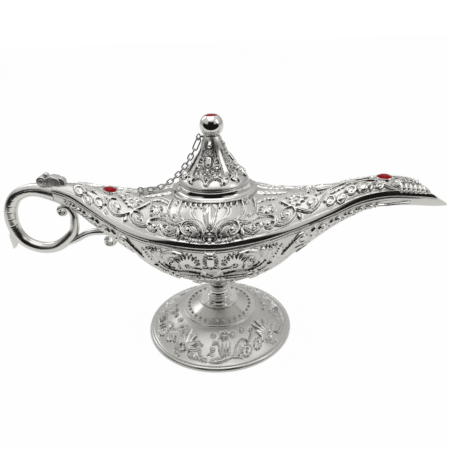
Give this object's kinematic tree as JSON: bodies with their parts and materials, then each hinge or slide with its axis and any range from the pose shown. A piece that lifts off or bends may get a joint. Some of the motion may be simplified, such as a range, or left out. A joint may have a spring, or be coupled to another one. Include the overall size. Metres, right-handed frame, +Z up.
{
  "type": "genie oil lamp",
  "caption": "Footed boat-shaped oil lamp with spout, scroll handle, three red stones and a bell lid held by a link chain.",
  "frame": {"origin": "centre of the foot's underside, on the surface the lamp stands on", "axes": "+Z up; +X from the handle to the spout; +Y to the far side when the spout is on the right"},
  "size_m": [0.2105, 0.0746, 0.1111],
  "materials": {
    "silver_plate": "bright silver plate, slightly warm, with chased relief",
    "setting_plate": "polished silver plate round the stones",
    "chain_plate": "bright nickel-plated wire",
    "red_stone": "deep red glossy stone with a flat table",
    "steel_hardware": "plain zinc-plated steel"
  },
  "bodies": {
    "lamp": {"foot": "silver_plate", "stem": "silver_plate", "lower_shell": "silver_plate", "upper_shell": "silver_plate", "collar": "silver_plate", "tail_bezel": "setting_plate", "tail_gem": "red_stone", "spout_bezel": "setting_plate", "spout_gem": "red_stone", "handle_loop": "silver_plate", "handle_strut": "silver_plate", "handle_leaf": "silver_plate", "thumb_rest": "silver_plate", "shell_eye": "chain_plate", "clamp_screw": "steel_hardware", "foot_washer": "steel_hardware", "nut_washer": "steel_hardware", "clamp_nut": "steel_hardware"},
    "lid_unit": {"lid": "silver_plate", "finial_ball": "silver_plate", "finial_gem": "red_stone", "lid_eye": "chain_plate"},
    "chain_run_1": {"chain_link_01": "chain_plate", "chain_link_02": "chain_plate", "chain_link_03": "chain_plate", "chain_link_04": "chain_plate"},
    "chain_run_2": {"chain_link_05": "chain_plate", "chain_link_06": "chain_plate", "chain_link_07": "chain_plate", "chain_link_08": "chain_plate"},
    "chain_run_3": {"chain_link_09": "chain_plate", "chain_link_10": "chain_plate", "chain_link_11": "chain_plate"},
    "chain_run_4": {"chain_link_12": "chain_plate", "chain_link_13": "chain_plate", "chain_long_link": "chain_plate"}
  },
  "joints": [
    {"name": "lid_lift", "type": "slide", "parent": "lamp", "child": "lid_unit", "axis": [0, 0, 1], "range_m": [0, 0.0032]},
    {"name": "chain_run_1_turn", "type": "hinge", "parent": "lamp", "child": "chain_run_1", "pos_m": [-0.0339, 0, 0.07688], "axis": [0, -1, 0], "range_deg": [0, 24.53]},
    {"name": "chain_run_2_turn", "type": "hinge", "parent": "chain_run_1", "child": "chain_run_2", "pos_m": [-0.02372, 0, 0.07851], "axis": [0, -1, 0], "range_deg": [-19.26, 0]},
    {"name": "chain_run_3_turn", "type": "hinge", "parent": "chain_run_2", "child": "chain_run_3", "pos_m": [-0.01549, 0, 0.08484], "axis": [0, -1, 0], "range_deg": [-10.31, 0]},
    {"name": "chain_run_4_turn", "type": "hinge", "parent": "chain_run_3", "child": "chain_run_4", "pos_m": [-0.01076, 0, 0.09108], "axis": [0, -1, 0], "range_deg": [-6, 0]}
  ],
  "couplings": [
    {"joint": "chain_run_1_turn", "follows": "lid_lift", "rad_per_m": 131.06},
    {"joint": "chain_run_2_turn", "follows": "lid_lift", "rad_per_m": -102.89},
    {"joint": "chain_run_3_turn", "follows": "lid_lift", "rad_per_m": -55.001},
    {"joint": "chain_run_4_turn", "follows": "lid_lift", "rad_per_m": -31.994}
  ]
}
